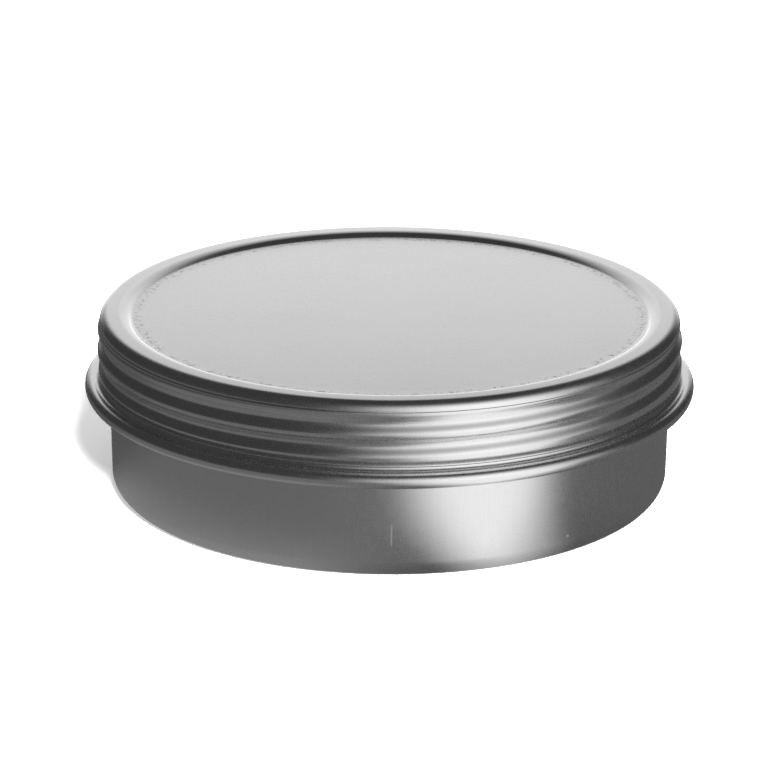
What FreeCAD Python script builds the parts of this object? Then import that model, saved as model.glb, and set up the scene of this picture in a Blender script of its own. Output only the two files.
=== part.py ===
"""Shallow screw-top candle tin: drawn base, one-piece screw lid and a flat sealing ring.

Millimetres, +Z up, origin on the tin's axis in the plane that it stands on. The front is -Y.
The base and the lid are each one sheet: an outer skin and an inner skin, revolved from outlines,
with a helical rolled thread between them. The lid's groove goes inward and the neck's ridge goes
outward along the same right-hand helix, so that they follow each other as the lid is unscrewed.
"""
import FreeCAD, Part
import math
import os

# ---- Driving dimensions ---------------------------------------------------
SHEET = 0.25                   # thickness of the tinplate
THREAD_PITCH = 3.15            # rise of the helix in one turn
RUN_OUT = 70.0                 # degrees in which a groove or a ridge fades out

# Lid, outer skin
LID_TOP = 25.55                # height of the closed tin
PANEL_DROP = 0.70              # recess of the panel below the ring
PANEL_EDGE_R = 36.05           # where the flat panel ends
RING_INNER_R = 38.05           # where the flat of the ring starts
RING_EDGE_ROUND = 2.60         # rounding of the ring's inner edge
RING_OUTER_R = 39.45           # where the shoulder's arc starts
SHOULDER_ROUND = 1.40
SKIRT_R = 41.18                # crests between the turns of the groove
LOWER_SKIRT_R = 40.93          # band between the bead and the lowest crest
SKIRT_WIDENS = (16.70, 17.70)  # heights between which the band widens to that crest
SKIRT_NARROWS = (22.90, 24.10) # heights between which the skirt narrows to the shoulder
GROOVE_DEPTH = 0.70
GROOVE_FRONT_Z = 19.40         # middle of the groove's lower turn at the front
GROOVE_SPAN = (-138.0, 520.0)  # degrees along the helix, 0 at the front
GROOVE_TOP_FADE = 0.80         # height in which the groove fades into the shoulder

# Bead curled from the skirt's lower edge
BEAD_R = 43.00                 # largest radius of the tin
BEAD_TUBE_R = 1.05
BEAD_Z = 15.00
BEAD_FILLET = 0.60             # hollow between the skirt and the bead
BEAD_CURL_END = -190.0         # degrees round the curl, where the raw edge lies

# Base, outer skin
FLOOR_PANEL_Z = 0.70           # the floor's centre panel stands clear of the table
FLOOR_PANEL_R = 31.50
REST_INNER_R = 33.20           # where the flat ring that the tin rests on starts
FOOT_R = 39.35                 # side at the foot
FOOT_ROUND = 2.50
SIDE_R = 39.55                 # side under the lid
NECK_BOTTOM_Z = 16.00
NECK_R = 39.75                 # neck between the turns of its ridge
NECK_WIDENS = (16.00, 17.80)   # heights between which the side widens to the neck
NECK_NARROWS = (22.60, 23.80)  # heights between which the neck narrows to the rim
RIDGE_HEIGHT = 0.80
RIDGE_LAG = 0.20               # the ridge lies this much nearer to the groove below it
RIDGE_SPAN = (-240.0, 160.0)
RIM_R = 39.70                  # outside of the curled rim
RIM_TOP = 24.65
RIM_TUBE_R = 0.80
RIM_CURL_END = 250.0

# Sealing ring, in the channel between the rim and the lid
GASKET_INNER_R = 38.00
GASKET_OUTER_R = 39.50
GASKET_PLAY = 0.07             # gap above and below it

AROUND = 144                   # stations round a threaded skin
PER_PITCH = 16                 # stations in one pitch of a threaded skin
TOUCHING = 1e-4                # points nearer than this are the same

ORIGIN = FreeCAD.Vector(0, 0, 0)
AXIS = FreeCAD.Vector(0, 0, 1)


# ---- Outlines in the XZ plane ---------------------------------------------
def at(r, z):
    return FreeCAD.Vector(r, 0, z)


def arc(center, radius, start, end):
    """Start, middle and end of an arc; the angles are in degrees."""
    def on_circle(degrees):
        a = math.radians(degrees)
        return center + at(radius * math.cos(a), radius * math.sin(a))
    return [on_circle(start), on_circle(0.5 * (start + end)), on_circle(end)]


def outline(*items):
    """Edges through points and arcs, with straight lines between those that don't touch."""
    edges = []
    pen = None
    for item in items:
        points = item if isinstance(item, list) else [item]
        if pen is not None and pen.distanceToPoint(points[0]) > TOUCHING:
            edges.append(Part.makeLine(pen, points[0]))
        if len(points) == 3:
            edges.append(Part.Arc(*points).toShape())
        pen = points[-1]
    return edges


def revolved(edges):
    """The faces that the edges sweep about the axis, in two half turns."""
    faces = []
    for edge in edges:
        half = edge.revolve(ORIGIN, AXIS, 180)
        faces += half.Faces + half.rotated(ORIGIN, AXIS, 180).Faces
    return faces


def step_turn(run, drop):
    """Angle that each of two arcs turns to step down by drop over run, and the sum of their radii."""
    turn = 2 * math.atan2(drop, run)
    return math.degrees(turn), run / math.sin(turn)


# ---- Rolled thread --------------------------------------------------------
def smooth(x):
    """0 up to x = 0, 1 from x = 1, and smooth between them."""
    x = min(max(x, 0.0), 1.0)
    return x * x * (3 - 2 * x)


def smooth_between(z, limits):
    return smooth((z - limits[0]) / (limits[1] - limits[0]))


def helix_share(degrees, z, front_z, span):
    """1 on the middle of the helical groove or ridge, falling to 0 halfway between its turns."""
    turns = (z - front_z) / THREAD_PITCH - degrees / 360
    nearest = round(turns)
    along = degrees + 360 * nearest
    fade = smooth((along - span[0]) / RUN_OUT) * smooth((span[1] - along) / RUN_OUT)
    return fade * 0.5 * (1 + math.cos(2 * math.pi * (turns - nearest)))


def threaded_skin(radius, low, high):
    """Two half faces round the axis, whose radius is radius(degrees from the front, z).

    Their surface is a cubic B-spline, closed round the axis, with its poles on the wanted surface.
    """
    spans = math.ceil((high - low) / THREAD_PITCH * PER_PITCH)
    knots = list(range(spans + 1))
    padded = [0] * 3 + knots + [spans] * 3
    step = 2 * math.pi / AROUND
    outward = 3 / (2 + math.cos(step))       # poles stand outside the circle that they make
    poles = []
    for i in range(AROUND):
        a = step * (i - 1)                   # puts the seam at +X, as on the revolved faces
        column = []
        for j in range(spans + 3):
            z = low + (high - low) * sum(padded[j + 1:j + 4]) / 3 / spans
            r = radius(math.degrees(a) + 90, z) * outward
            column.append(FreeCAD.Vector(r * math.cos(a), r * math.sin(a), z))
        poles.append(column)
    surface = Part.BSplineSurface()
    surface.buildFromPolesMultsKnots(
        poles, [1] * (AROUND + 1), [4] + [1] * (spans - 1) + [4],
        list(range(AROUND + 1)), knots, True, False, 3, 3)
    half = AROUND / 2
    return [surface.toShape(0, half, 0, spans), surface.toShape(half, AROUND, 0, spans)]


def sewn_solid(faces):
    skin = Part.makeCompound(faces)
    skin.sewShape()
    solid = Part.makeSolid(skin.Shells[0])
    if solid.Volume < 0:
        solid.reverse()
    return solid


# ---- Lid ------------------------------------------------------------------
def lid_top(inset):
    """Panel, ring and shoulder of the skin that lies inset below the lid's outer skin."""
    turn, radii = step_turn(RING_INNER_R - PANEL_EDGE_R, PANEL_DROP)
    panel_z = LID_TOP - PANEL_DROP
    hollow = radii - RING_EDGE_ROUND
    return outline(
        at(0, panel_z - inset),
        arc(at(PANEL_EDGE_R, panel_z + hollow), hollow + inset, -90, -90 + turn),
        arc(at(RING_INNER_R, LID_TOP - RING_EDGE_ROUND), RING_EDGE_ROUND - inset, 90 + turn, 90),
        arc(at(RING_OUTER_R, LID_TOP - SHOULDER_ROUND), SHOULDER_ROUND - inset, 90, 0))


def bead_outline():
    """The hollow above the bead and the curl, down the outer skin and back up the inner one."""
    center = at(BEAD_R - BEAD_TUBE_R, BEAD_Z)
    hollow_x = LOWER_SKIRT_R + BEAD_FILLET - center.x
    hollow_z = math.sqrt((BEAD_TUBE_R + BEAD_FILLET) ** 2 - hollow_x ** 2)
    meet = math.degrees(math.atan2(hollow_z, hollow_x))
    hollow = center + at(hollow_x, hollow_z)
    edges = outline(
        arc(hollow, BEAD_FILLET, 180, 180 + meet),
        arc(center, BEAD_TUBE_R, meet, BEAD_CURL_END),
        arc(center, BEAD_TUBE_R - SHEET, BEAD_CURL_END, meet),
        arc(hollow, BEAD_FILLET + SHEET, 180 + meet, 180))
    return edges, hollow.z


def lid_radius(degrees, z, inset):
    narrowing = SKIRT_R - (RING_OUTER_R + SHOULDER_ROUND)
    radius = LOWER_SKIRT_R + (SKIRT_R - LOWER_SKIRT_R) * smooth_between(z, SKIRT_WIDENS)
    radius -= narrowing * smooth_between(z, SKIRT_NARROWS)
    groove = GROOVE_DEPTH * helix_share(degrees, z, GROOVE_FRONT_Z, GROOVE_SPAN)
    groove *= smooth((LID_TOP - SHOULDER_ROUND - z) / GROOVE_TOP_FADE)
    return radius - groove - inset


def make_lid():
    bead, skirt_bottom = bead_outline()
    skirt_top = LID_TOP - SHOULDER_ROUND
    faces = revolved(bead)
    for inset in (0, SHEET):
        faces += revolved(lid_top(inset))
        faces += threaded_skin(lambda d, z: lid_radius(d, z, inset), skirt_bottom, skirt_top)
    return sewn_solid(faces)


# ---- Base -----------------------------------------------------------------
def base_floor(inset):
    """Floor, foot and side of the skin that lies inset inside the base's outer skin."""
    turn, radii = step_turn(REST_INNER_R - FLOOR_PANEL_R, FLOOR_PANEL_Z)
    bend = radii / 2
    return outline(
        at(0, FLOOR_PANEL_Z + inset),
        arc(at(FLOOR_PANEL_R, FLOOR_PANEL_Z - bend), bend + inset, 90, 90 - turn),
        arc(at(REST_INNER_R, bend), bend - inset, -90 - turn, -90),
        arc(at(FOOT_R - FOOT_ROUND, FOOT_ROUND), FOOT_ROUND - inset, -90, 0),
        at(SIDE_R - inset, NECK_BOTTOM_Z))


def rim_outline():
    center = at(RIM_R - RIM_TUBE_R, RIM_TOP - RIM_TUBE_R)
    return outline(
        arc(center, RIM_TUBE_R, 0, RIM_CURL_END),
        arc(center, RIM_TUBE_R - SHEET, RIM_CURL_END, 0))


def neck_radius(degrees, z, inset):
    between_crests = GROOVE_FRONT_Z + THREAD_PITCH / 2
    ridge = RIDGE_HEIGHT * helix_share(degrees, z, between_crests - RIDGE_LAG, RIDGE_SPAN)
    widened = SIDE_R + (NECK_R - SIDE_R) * smooth_between(z, NECK_WIDENS)
    return widened + (RIM_R - NECK_R) * smooth_between(z, NECK_NARROWS) + ridge - inset


def make_base():
    neck_top = RIM_TOP - RIM_TUBE_R
    faces = revolved(rim_outline())
    for inset in (0, SHEET):
        faces += revolved(base_floor(inset))
        faces += threaded_skin(lambda d, z: neck_radius(d, z, inset), NECK_BOTTOM_Z, neck_top)
    return sewn_solid(faces)


# ---- Sealing ring ---------------------------------------------------------
def make_gasket():
    bottom = RIM_TOP + GASKET_PLAY
    thickness = LID_TOP - SHEET - GASKET_PLAY - bottom
    disc = Part.makeCylinder(GASKET_OUTER_R, thickness, at(0, bottom))
    hole = Part.makeCylinder(GASKET_INNER_R, thickness, at(0, bottom))
    return disc.cut(hole)


PIECES = {"base_can": make_base, "lid_gasket": make_gasket, "lid": make_lid}

os.makedirs("parts", exist_ok=True)
for name, make in PIECES.items():
    piece = make()
    piece.exportStep(f"parts/{name}.step")
    print(name, "valid" if piece.isValid() else "NOT VALID", f"{piece.Volume:.1f} mm3")
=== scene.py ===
"""Looks of the shallow screw-top candle tin: fine sheet-metal shells, satin tinplate and a soft studio."""
import bmesh
import bpy
import math
from mathutils import Matrix, Vector


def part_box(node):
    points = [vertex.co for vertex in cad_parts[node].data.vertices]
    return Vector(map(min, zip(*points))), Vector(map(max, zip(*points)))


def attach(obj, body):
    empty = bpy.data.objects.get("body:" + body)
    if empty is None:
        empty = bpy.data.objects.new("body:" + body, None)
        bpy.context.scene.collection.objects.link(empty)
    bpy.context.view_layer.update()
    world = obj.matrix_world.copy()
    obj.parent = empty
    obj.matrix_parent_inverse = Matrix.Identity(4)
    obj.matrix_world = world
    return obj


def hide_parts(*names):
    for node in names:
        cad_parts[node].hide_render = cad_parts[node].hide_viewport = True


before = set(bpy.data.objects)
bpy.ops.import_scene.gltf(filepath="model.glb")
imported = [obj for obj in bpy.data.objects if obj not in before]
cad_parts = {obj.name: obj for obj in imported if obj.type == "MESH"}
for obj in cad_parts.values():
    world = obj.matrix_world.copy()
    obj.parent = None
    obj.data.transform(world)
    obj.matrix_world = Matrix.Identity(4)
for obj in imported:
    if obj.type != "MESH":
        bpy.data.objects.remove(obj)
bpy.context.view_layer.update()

MM = 0.001

# ---- Sizes, in millimetres; the overall ones come from the frame -----------
LID_LOW, LID_HIGH = (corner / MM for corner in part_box("lid"))
BASE_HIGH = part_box("base_can")[1] / MM
RING_LOW, RING_HIGH = (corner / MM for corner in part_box("lid_gasket"))
SHEET = 0.25
THREAD_PITCH = 3.15
RUN_OUT = 70.0                 # degrees in which a groove or a ridge fades out

LID_TOP = LID_HIGH.z
PANEL_DROP = 0.70
PANEL_EDGE_R = 36.05
RING_INNER_R = 38.05
RING_EDGE_ROUND = 2.60
RING_OUTER_R = 39.45
SHOULDER_ROUND = 1.40
SKIRT_R = 41.18
LOWER_SKIRT_R = 40.93
SKIRT_WIDENS = (16.70, 17.70)
SKIRT_NARROWS = (22.90, 24.10)
GROOVE_DEPTH = 0.70
GROOVE_FRONT_Z = 19.40
GROOVE_SPAN = (-138.0, 520.0)
GROOVE_TOP_FADE = 0.80
BEAD_R = round(LID_HIGH.x, 2)
BEAD_TUBE_R = 1.05
BEAD_Z = LID_LOW.z + BEAD_TUBE_R
BEAD_FILLET = 0.60
BEAD_CURL_END = -190.0

FLOOR_PANEL_Z = 0.70
FLOOR_PANEL_R = 31.50
REST_INNER_R = 33.20
FOOT_R = 39.35
FOOT_ROUND = 2.50
SIDE_R = 39.55
NECK_BOTTOM_Z = 16.00
NECK_R = 39.75
NECK_WIDENS = (16.00, 17.80)
NECK_NARROWS = (22.60, 23.80)
RIDGE_HEIGHT = 0.80
RIDGE_LAG = 0.20
RIDGE_SPAN = (-240.0, 160.0)
RIM_R = 39.70
RIM_TOP = BASE_HIGH.z
RIM_TUBE_R = 0.80
RIM_CURL_END = 250.0

GASKET_INNER_R = 38.00
GASKET_SOFT_EDGE = 0.18

AROUND = 360                   # vertices in one turn
FINE = 0.17                    # length of a mesh step along the thread and the arcs
COARSE = 2.5                   # and along the flats


# ---- Outlines: lists of (radius, height, inward) ---------------------------
# inward(degrees from the front, height) is how far the rolled thread draws that point in.
def arc(center, radius, start, end):
    steps = max(6, math.ceil(abs(math.radians(end - start)) * radius / FINE))
    angles = [math.radians(start + (end - start) * i / steps) for i in range(steps + 1)]
    return [(center[0] + radius * math.cos(a), center[1] + radius * math.sin(a), None) for a in angles]


def straight(start, end, step, inward=None):
    steps = max(1, math.ceil(math.dist(start, end) / step))
    return [(start[0] + (end[0] - start[0]) * i / steps,
             start[1] + (end[1] - start[1]) * i / steps, inward) for i in range(steps + 1)]


def joined(*stretches):
    """One outline from stretches that meet end to end."""
    rows = []
    for stretch in stretches:
        for row in stretch:
            if not rows or math.dist(rows[-1][:2], row[:2]) > FINE / 100:
                rows.append(row)
    return rows


def step_turn(run, drop):
    """Angle that each of two arcs turns to step down by drop over run, and the sum of their radii."""
    turn = 2 * math.atan2(drop, run)
    return math.degrees(turn), run / math.sin(turn)


def smooth(x):
    x = min(max(x, 0.0), 1.0)
    return x * x * (3 - 2 * x)


def smooth_between(z, limits):
    return smooth((z - limits[0]) / (limits[1] - limits[0]))


def helix_share(degrees, z, front_z, span):
    """1 on the middle of the helical groove or ridge, falling to 0 halfway between its turns."""
    turns = (z - front_z) / THREAD_PITCH - degrees / 360
    nearest = round(turns)
    along = degrees + 360 * nearest
    fade = smooth((along - span[0]) / RUN_OUT) * smooth((span[1] - along) / RUN_OUT)
    return fade * 0.5 * (1 + math.cos(2 * math.pi * (turns - nearest)))


def skirt_inward(degrees, z):
    narrowing = SKIRT_R - (RING_OUTER_R + SHOULDER_ROUND)
    band = (SKIRT_R - LOWER_SKIRT_R) * (1 - smooth_between(z, SKIRT_WIDENS))
    groove = GROOVE_DEPTH * helix_share(degrees, z, GROOVE_FRONT_Z, GROOVE_SPAN)
    groove *= smooth((LID_TOP - SHOULDER_ROUND - z) / GROOVE_TOP_FADE)
    return band + narrowing * smooth_between(z, SKIRT_NARROWS) + groove


def neck_inward(degrees, z):
    between_crests = GROOVE_FRONT_Z + THREAD_PITCH / 2
    ridge = RIDGE_HEIGHT * helix_share(degrees, z, between_crests - RIDGE_LAG, RIDGE_SPAN)
    widened = (NECK_R - SIDE_R) * smooth_between(z, NECK_WIDENS)
    return -widened - (RIM_R - NECK_R) * smooth_between(z, NECK_NARROWS) - ridge


def lid_skin(inset):
    """The lid's skin from the middle of the panel down to the hollow above the bead."""
    turn, radii = step_turn(RING_INNER_R - PANEL_EDGE_R, PANEL_DROP)
    panel_z = LID_TOP - PANEL_DROP
    hollow = radii - RING_EDGE_ROUND
    skirt_top = LID_TOP - SHOULDER_ROUND
    return joined(
        straight((0, panel_z - inset), (PANEL_EDGE_R, panel_z - inset), COARSE),
        arc((PANEL_EDGE_R, panel_z + hollow), hollow + inset, -90, -90 + turn),
        arc((RING_INNER_R, LID_TOP - RING_EDGE_ROUND), RING_EDGE_ROUND - inset, 90 + turn, 90),
        straight((RING_INNER_R, LID_TOP - inset), (RING_OUTER_R, LID_TOP - inset), COARSE),
        arc((RING_OUTER_R, skirt_top), SHOULDER_ROUND - inset, 90, 0),
        straight((SKIRT_R - inset, skirt_top), (SKIRT_R - inset, bead_hollow()[1]), FINE, skirt_inward))


def bead_hollow():
    """Centre of the hollow's arc between skirt and bead, and the angle at which it meets the bead."""
    x = LOWER_SKIRT_R + BEAD_FILLET - (BEAD_R - BEAD_TUBE_R)
    z = math.sqrt((BEAD_TUBE_R + BEAD_FILLET) ** 2 - x ** 2)
    return LOWER_SKIRT_R + BEAD_FILLET, BEAD_Z + z, math.degrees(math.atan2(z, x))


def lid_rows():
    x, z, meet = bead_hollow()
    center = (BEAD_R - BEAD_TUBE_R, BEAD_Z)
    outside = joined(lid_skin(0),
                     arc((x, z), BEAD_FILLET, 180, 180 + meet),
                     arc(center, BEAD_TUBE_R, meet, BEAD_CURL_END))
    inside = joined(lid_skin(SHEET),
                    arc((x, z), BEAD_FILLET + SHEET, 180, 180 + meet),
                    arc(center, BEAD_TUBE_R - SHEET, meet, BEAD_CURL_END))
    return outside + inside[::-1]


def base_skin(inset):
    """The base's skin from the middle of the floor up to the inside of the rim's curl."""
    turn, radii = step_turn(REST_INNER_R - FLOOR_PANEL_R, FLOOR_PANEL_Z)
    bend = radii / 2
    foot = (FOOT_R - FOOT_ROUND, FOOT_ROUND)
    neck_top = RIM_TOP - RIM_TUBE_R
    return joined(
        straight((0, FLOOR_PANEL_Z + inset), (FLOOR_PANEL_R, FLOOR_PANEL_Z + inset), COARSE),
        arc((FLOOR_PANEL_R, FLOOR_PANEL_Z - bend), bend + inset, 90, 90 - turn),
        arc((REST_INNER_R, bend), bend - inset, -90 - turn, -90),
        arc(foot, FOOT_ROUND - inset, -90, 0),
        straight((FOOT_R - inset, FOOT_ROUND), (SIDE_R - inset, NECK_BOTTOM_Z), COARSE),
        straight((SIDE_R - inset, NECK_BOTTOM_Z), (SIDE_R - inset, neck_top), FINE, neck_inward),
        arc((RIM_R - RIM_TUBE_R, neck_top), RIM_TUBE_R - inset, 0, RIM_CURL_END))


def base_rows():
    return base_skin(0) + base_skin(SHEET)[::-1]


def ring_rows():
    """A flat ring with softly rounded edges."""
    inner = GASKET_INNER_R + GASKET_SOFT_EDGE
    outer = RING_HIGH.x - GASKET_SOFT_EDGE
    low = RING_LOW.z + GASKET_SOFT_EDGE
    high = RING_HIGH.z - GASKET_SOFT_EDGE
    centers = [(outer, high), (inner, high), (inner, low), (outer, low)]
    return joined(*(arc(center, GASKET_SOFT_EDGE, 90 * i, 90 * i + 90) for i, center in enumerate(centers)))


# ---- Meshes ---------------------------------------------------------------
def lathe(name, rows, closed=False):
    """The outline turned about the tin's axis. A row on the axis is one vertex."""
    mesh = bmesh.new()
    loops = []
    for r, z, inward in rows:
        if r < FINE:
            loops.append([mesh.verts.new((0, 0, z * MM))])
            continue
        loop = []
        for i in range(AROUND):
            degrees = 360 * i / AROUND
            radius = r - (inward(degrees, z) if inward else 0)
            a = math.radians(degrees - 90)
            loop.append(mesh.verts.new((radius * math.cos(a) * MM, radius * math.sin(a) * MM, z * MM)))
        loops.append(loop)
    pairs = list(zip(loops, loops[1:]))
    if closed:
        pairs.append((loops[-1], loops[0]))
    for first, second in pairs:
        for i in range(AROUND):
            ring = [first[i % len(first)], first[(i + 1) % len(first)],
                    second[(i + 1) % len(second)], second[i % len(second)]]
            mesh.faces.new(list(dict.fromkeys(ring))).smooth = True
    bmesh.ops.recalc_face_normals(mesh, faces=mesh.faces)
    data = bpy.data.meshes.new(name)
    mesh.to_mesh(data)
    mesh.free()
    piece = bpy.data.objects.new(name, data)
    bpy.context.scene.collection.objects.link(piece)
    return piece


# ---- Materials ------------------------------------------------------------
class Nodes:
    """Short calls for building a node tree."""

    def __init__(self, owner):
        owner.use_nodes = True
        self.tree = owner.node_tree
        self.tree.nodes.clear()

    def add(self, kind, inputs=None, **settings):
        node = self.tree.nodes.new(kind)
        for key, value in settings.items():
            setattr(node, key, value)
        for key, value in (inputs or {}).items():
            if isinstance(value, bpy.types.NodeSocket):
                self.tree.links.new(value, node.inputs[key])
            else:
                node.inputs[key].default_value = value
        return node

    def math(self, operation, *values):
        return self.add("ShaderNodeMath", dict(enumerate(values)), operation=operation).outputs[0]

    def remap(self, value, low, high, to_low=0.0, to_high=1.0, kind="LINEAR"):
        inputs = {"Value": value, "From Min": low, "From Max": high, "To Min": to_low, "To Max": to_high}
        return self.add("ShaderNodeMapRange", inputs, interpolation_type=kind).outputs[0]

    def near(self, value, middle, full, none):
        """1 where value is within full of middle, falling to 0 at none."""
        return self.remap(self.math("ABSOLUTE", self.math("SUBTRACT", value, middle)), none, full)

    def axes(self, place):
        return self.add("ShaderNodeSeparateXYZ", {0: place}).outputs

    def radius(self, axes):
        """Distance from the tin's axis."""
        squares = [self.math("MULTIPLY", axes[name], axes[name]) for name in "XY"]
        return self.math("SQRT", self.math("ADD", *squares))

    def azimuth(self, axes):
        """Degrees from the front towards the right."""
        return self.math("DEGREES", self.math("ARCTAN2", axes["X"], self.math("MULTIPLY", axes["Y"], -1.0)))

    def noise(self, vector, scale, detail=2.0, roughness=0.5):
        inputs = {"Vector": vector, "Scale": scale, "Detail": detail, "Roughness": roughness}
        return self.add("ShaderNodeTexNoise", inputs).outputs["Fac"]


# Where the wear is, in millimetres.
SPECKS_R = 35.5
SLOPE_R = 37.3
TOP_SIDE_Z = (23.5, 24.5)      # the panel's marks come in over these heights
SCRATCH_X = 0.35
SCRATCH_Z = 6.3
SPECK_PLACE = Vector((24.3, -31.1, 3.2))


def panel_scuffs(n, place):
    """Rubbed specks in a narrow band round the lid's panel, and the smoother slope that rises from it."""
    axes = n.axes(place)
    radius = n.radius(axes)
    on_top = n.remap(axes["Z"], TOP_SIDE_Z[0] * MM, TOP_SIDE_Z[1] * MM)
    band = n.math("MULTIPLY", n.near(radius, SPECKS_R * MM, 0.2 * MM, 0.9 * MM), on_top)
    specks = n.math("MULTIPLY", band, n.remap(n.noise(place, 1500, 3.0, 0.7), 0.52, 0.66))
    burnished = n.math("MULTIPLY", n.near(radius, SLOPE_R * MM, 0.5 * MM, 0.9 * MM), on_top)
    return n.math("MULTIPLY_ADD", burnished, -0.5, specks)


def side_scratches(n, place):
    """One short upright scratch at the front of the side and a bright speck low on the right."""
    axes = n.axes(place)
    scratch = n.near(axes["X"], SCRATCH_X * MM, 0.03 * MM, 0.13 * MM)
    scratch = n.math("MULTIPLY", scratch, n.math("LESS_THAN", axes["Y"], 0.0))
    scratch = n.math("MULTIPLY", scratch, n.near(axes["Z"], SCRATCH_Z * MM, 1.2 * MM, 1.8 * MM))
    away = n.add("ShaderNodeVectorMath", {0: place, 1: SPECK_PLACE * MM}, operation="DISTANCE")
    return n.math("MAXIMUM", scratch, n.remap(away.outputs["Value"], 0.28 * MM, 0.12 * MM))


def tinplate(name, tone, roughness, marks, wear):
    """Satin tinplate: fine streaks drawn down the sides, faint mottling on the flats, and some wear.

    marks(nodes, place) is how worn a point is, and wear how much rougher that makes it.
    """
    material = bpy.data.materials.new(name)
    n = Nodes(material)
    place = n.add("ShaderNodeTexCoord").outputs["Object"]
    drawn = n.add("ShaderNodeMapping", {"Vector": place, "Scale": (1, 1, 0.05)}).outputs[0]
    streaks = n.noise(drawn, 2600, 3.0)
    mottle = n.noise(place, 900, 4.0, 0.6)
    cloud = n.noise(place, 60, 2.0)
    shade = n.remap(n.math("ADD", streaks, n.math("ADD", mottle, cloud)), 0.9, 2.1, tone - 0.03, tone + 0.03)
    color = n.add("ShaderNodeCombineColor", {0: shade, 1: shade, 2: shade}).outputs[0]
    rough = n.remap(n.math("ADD", mottle, cloud), 0.6, 1.4, roughness - 0.03, roughness + 0.03)
    rough = n.math("MULTIPLY_ADD", marks(n, place), wear, rough)
    bump = n.add("ShaderNodeBump", {"Height": n.math("ADD", streaks, mottle), "Strength": 0.15,
                                    "Distance": 0.004 * MM})
    shader = n.add("ShaderNodeBsdfPrincipled", {
        "Base Color": color, "Metallic": 1.0, "Roughness": rough, "Normal": bump.outputs[0]})
    n.add("ShaderNodeOutputMaterial", {"Surface": shader.outputs[0]})
    return material


def foam(name):
    """Closed-cell white foam of the sealing ring."""
    material = bpy.data.materials.new(name)
    n = Nodes(material)
    place = n.add("ShaderNodeTexCoord").outputs["Object"]
    cells = n.add("ShaderNodeTexVoronoi", {"Vector": place, "Scale": 4500.0}).outputs["Distance"]
    shade = n.remap(cells, 0.0, 0.8, 0.72, 0.86)
    color = n.add("ShaderNodeCombineColor", {0: shade, 1: shade, 2: shade}).outputs[0]
    bump = n.add("ShaderNodeBump", {"Height": cells, "Strength": 0.4, "Distance": 0.03 * MM})
    shader = n.add("ShaderNodeBsdfPrincipled", {
        "Base Color": color, "Roughness": 0.75, "Normal": bump.outputs[0]})
    n.add("ShaderNodeOutputMaterial", {"Surface": shader.outputs[0]})
    return material


# ---- Camera ---------------------------------------------------------------
CAMERA_DISTANCE = 602 * MM
CAMERA_ELEVATION = 18.97
CAMERA_LENS = 196.1
CAMERA_ROLL = 0.28
AIM = Vector((-0.07 * MM, 0, 13.34 * MM))


def direction(azimuth, elevation):
    """Unit vector: azimuth from the front towards the right, in degrees."""
    a, e = math.radians(azimuth), math.radians(elevation)
    return Vector((math.sin(a) * math.cos(e), -math.cos(a) * math.cos(e), math.sin(e)))


def look_at(item, target, roll=0.0):
    turn = (target - item.location).to_track_quat("-Z", "Y").to_matrix().to_4x4()
    item.matrix_world = Matrix.Translation(item.location) @ turn @ Matrix.Rotation(math.radians(roll), 4, "Z")


def make_camera():
    data = bpy.data.cameras.new("camera")
    data.lens = CAMERA_LENS
    data.clip_start = 0.01
    camera = bpy.data.objects.new("camera", data)
    bpy.context.scene.collection.objects.link(camera)
    camera.location = AIM + CAMERA_DISTANCE * direction(0, CAMERA_ELEVATION)
    look_at(camera, AIM, CAMERA_ROLL)
    bpy.context.scene.camera = camera


# ---- Studio ---------------------------------------------------------------
# Soft patches of light round the tin, as a studio's cards make them. Each is (azimuth, half width,
# soft edge), (lowest elevation, highest elevation, soft edge), brightness.
AMBIENT = 0.04
PATCHES = [
    ((36, 34, 28), (-30, 46, 25), 1.2),      # large soft box, front right
]
# The same on the table: (azimuth, half width, soft edge), (nearest, farthest, soft edge) in
# millimetres from the tin's axis, brightness.
TABLE_AMBIENT = 0.10
TABLE_PATCHES = [
    ((-42, 44, 12), (30, 400, 20), 0.15),    # left of the tin
    ((-50, 40, 12), (20, 48, 12), 0.27),     # and close to its foot
    ((110, 50, 15), (30, 400, 20), 0.12),    # right
]
# The bright card's image on the table is a wedge. One side is the straight edge of the card, and the
# other is at an azimuth that turns as the distance grows. Lengths are in millimetres.
WEDGE_LIGHT = 1.05
WEDGE_EDGE_NORMAL = (-0.337, -0.941)
WEDGE_EDGE_AWAY = 28.4
WEDGE_EDGE_SOFT = (-11.0, 9.0)
WEDGE_AZIMUTH = 17.9
WEDGE_TURN = 0.38              # degrees for each millimetre
WEDGE_TURN_LIMIT = 69.0        # and no further than this distance
WEDGE_AZIMUTH_SOFT = (5.0, 26.0)
# The pale sweep behind the tin, in millimetres. It fades upwards and sideways.
SWEEP_AWAY = 150
SWEEP_HEIGHTS = (10.0, 230.0)
SWEEP_HALF_WIDTHS = (60.0, 125.0)
SWEEP_LIGHT = 1.0
SWEEP_FOOT = (22.0, 44.0)      # the brightest part ends between these heights
SWEEP_FOOT_LIGHT = 1.7
CARD_DEPTH = 0.3               # how far the table's card lies below the floor


def shares(n, away, along, patch):
    """How much of a patch is at a point that is away from its middle azimuth and along its limits."""
    (middle, half, soft), (low, high, edge), brightness = patch
    share = n.remap(away, half + soft, half - soft, kind="SMOOTHSTEP")
    share = n.math("MULTIPLY", share, n.remap(along, low - edge, low + edge, kind="SMOOTHSTEP"))
    return n.math("MULTIPLY", share, n.remap(along, high + edge, high - edge, kind="SMOOTHSTEP"))


def patched(n, azimuth, along, ambient, patches):
    light = ambient
    for patch in patches:
        offset = n.math("SUBTRACT", azimuth, float(patch[0][0]))
        away = n.math("ABSOLUTE", n.math("WRAP", offset, 180.0, -180.0))
        light = n.add("ShaderNodeMix", {0: shares(n, away, along, patch), 2: light, 3: patch[2]}).outputs[0]
    return light


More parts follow.
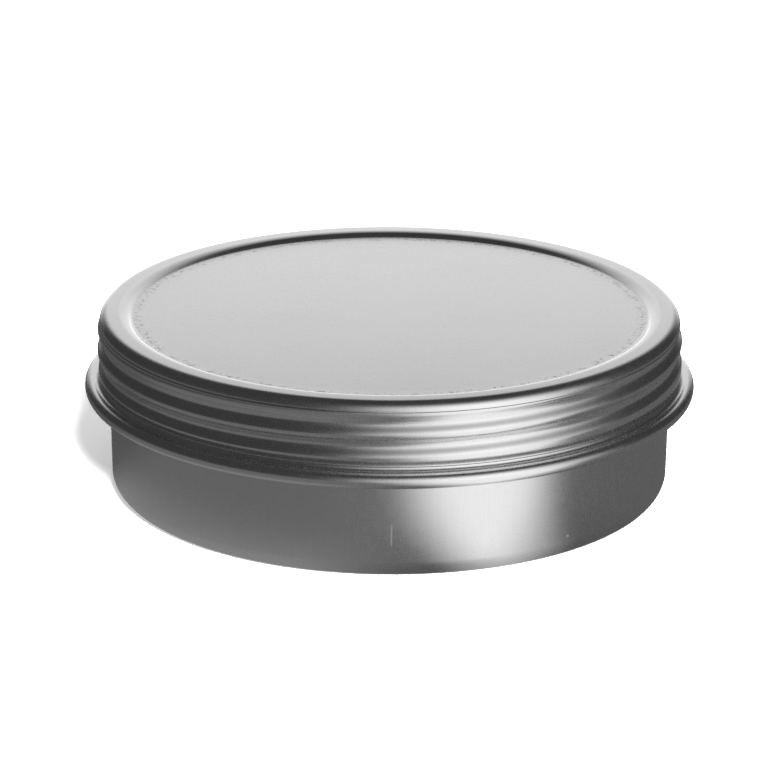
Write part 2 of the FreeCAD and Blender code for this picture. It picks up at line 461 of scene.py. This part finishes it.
def studio_world():
    world = bpy.data.worlds.new("studio")
    bpy.context.scene.world = world
    n = Nodes(world)
    view = n.axes(n.add("ShaderNodeTexCoord").outputs["Generated"])
    elevation = n.math("DEGREES", n.math("ARCSINE", view["Z"]))
    light = patched(n, n.azimuth(view), elevation, AMBIENT, PATCHES)
    around = n.add("ShaderNodeBackground", {"Color": (1, 1, 1, 1), "Strength": light}).outputs[0]
    backdrop = n.add("ShaderNodeBackground", {"Color": (1, 1, 1, 1), "Strength": 1.0}).outputs[0]
    seen = n.add("ShaderNodeLightPath").outputs["Is Camera Ray"]
    mixed = n.add("ShaderNodeMixShader", {0: seen, 1: around, 2: backdrop}).outputs[0]
    n.add("ShaderNodeOutputWorld", {"Surface": mixed})


def soft_light(name, azimuth, elevation, distance, size, power):
    """A round light, seen only by what it falls on. Angles in degrees, lengths in metres, power in watts."""
    data = bpy.data.lights.new(name, "AREA")
    data.shape = "DISK"
    data.size = size
    data.energy = power
    light = bpy.data.objects.new(name, data)
    bpy.context.scene.collection.objects.link(light)
    light.location = AIM + distance * direction(azimuth, elevation)
    look_at(light, AIM)
    light.visible_glossy = False


def plane(name, height, size):
    """A square staged sheet, size metres to each side, and the empty node tree of its material."""
    mesh = bmesh.new()
    bmesh.ops.create_grid(mesh, x_segments=1, y_segments=1, size=size)
    data = bpy.data.meshes.new(name)
    mesh.to_mesh(data)
    mesh.free()
    sheet = bpy.data.objects.new(name, data)
    sheet.location.z = height
    bpy.context.scene.collection.objects.link(sheet)
    material = bpy.data.materials.new(name)
    data.materials.append(material)
    sheet.visible_shadow = False
    return sheet, Nodes(material)


def make_floor():
    """White paper that is also lit from below, so that only the deepest shadow shows."""
    floor, n = plane("studio_floor", 0.0, 3.0)
    paper = n.add("ShaderNodeBsdfDiffuse", {"Color": (0.9, 0.9, 0.9, 1)}).outputs[0]
    lit_through = n.add("ShaderNodeEmission", {"Color": (1, 1, 1, 1), "Strength": 0.3}).outputs[0]
    surface = n.add("ShaderNodeAddShader", {0: paper, 1: lit_through}).outputs[0]
    n.add("ShaderNodeOutputMaterial", {"Surface": surface})
    floor.visible_glossy = False


def glowing(card, n, light):
    """A card that lights nothing and is seen by reflections only."""
    glow = n.add("ShaderNodeEmission", {"Color": (1, 1, 1, 1), "Strength": light})
    n.add("ShaderNodeOutputMaterial", {"Surface": glow.outputs[0]})
    card.data.materials[0].cycles.emission_sampling = "NONE"
    card.visible_camera = False
    card.visible_diffuse = False
    card.visible_transmission = False


def make_table_reflection():
    """What the tin's sides mirror of the table: seen by reflections only."""
    card, n = plane("table_reflection", -CARD_DEPTH * MM, 1.2)
    axes = n.axes(n.add("ShaderNodeTexCoord").outputs["Object"])
    distance = n.math("MULTIPLY", n.radius(axes), 1 / MM)
    azimuth = n.azimuth(axes)
    light = patched(n, azimuth, distance, TABLE_AMBIENT, TABLE_PATCHES)
    inside = n.math("MULTIPLY_ADD", axes["Y"], WEDGE_EDGE_NORMAL[1] / MM, -WEDGE_EDGE_AWAY)
    inside = n.math("MULTIPLY_ADD", axes["X"], WEDGE_EDGE_NORMAL[0] / MM, inside)
    turned = n.math("SUBTRACT", azimuth, WEDGE_AZIMUTH)
    turned = n.math("MULTIPLY_ADD", n.math("MINIMUM", distance, WEDGE_TURN_LIMIT), WEDGE_TURN, turned)
    wedge = n.math("MULTIPLY", n.remap(turned, *WEDGE_AZIMUTH_SOFT, kind="SMOOTHSTEP"),
                   n.remap(inside, *WEDGE_EDGE_SOFT, kind="SMOOTHSTEP"))
    glowing(card, n, n.add("ShaderNodeMix", {0: wedge, 2: light, 3: WEDGE_LIGHT}).outputs[0])


def make_sweep_reflection():
    """The pale sweep behind the tin, as its top mirrors it: bright low down and fading upwards."""
    card, n = plane("sweep_reflection", 0.0, 1.2)
    card.rotation_euler.x = math.radians(90)
    card.location.y = SWEEP_AWAY * MM
    axes = n.axes(n.add("ShaderNodeTexCoord").outputs["Object"])
    height = n.math("MULTIPLY", axes["Y"], 1 / MM)
    aside = n.math("MULTIPLY", n.math("ABSOLUTE", axes["X"]), 1 / MM)
    light = n.remap(height, *SWEEP_HEIGHTS[::-1], AMBIENT, SWEEP_LIGHT, kind="SMOOTHSTEP")
    foot = n.remap(height, *SWEEP_FOOT[::-1], kind="SMOOTHSTEP")
    light = n.add("ShaderNodeMix", {0: foot, 2: light, 3: SWEEP_FOOT_LIGHT}).outputs[0]
    share = n.remap(aside, *SWEEP_HALF_WIDTHS[::-1], kind="SMOOTHSTEP")
    glowing(card, n, n.add("ShaderNodeMix", {0: share, 2: AMBIENT, 3: light}).outputs[0])


# ---- The tin and its scene ------------------------------------------------
def add_piece(name, rows, node, body, material, closed=False):
    """A turned piece that stands for a CAD node and moves with its body."""
    piece = lathe(name, rows, closed)
    piece.data.materials.append(material)
    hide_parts(node)
    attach(piece, body)


make_camera()
studio_world()
make_floor()
make_table_reflection()
make_sweep_reflection()
soft_light("overhead", 0, 85, 1.0, 1.2, 3)
soft_light("left_fill", -50, 25, 0.9, 0.6, 3)
soft_light("key", 11, 33, 0.9, 0.22, 45)
bpy.context.scene.view_settings.view_transform = "Standard"

add_piece("base_shell", base_rows(), "base_can", "base",
          tinplate("satin_base", 0.78, 0.27, side_scratches, 0.4))
add_piece("lid_shell", lid_rows(), "lid", "lid",
          tinplate("satin_lid", 0.80, 0.27, panel_scuffs, 0.28))
add_piece("sealing_ring", ring_rows(), "lid_gasket", "seal", foam("white_foam"), closed=True)
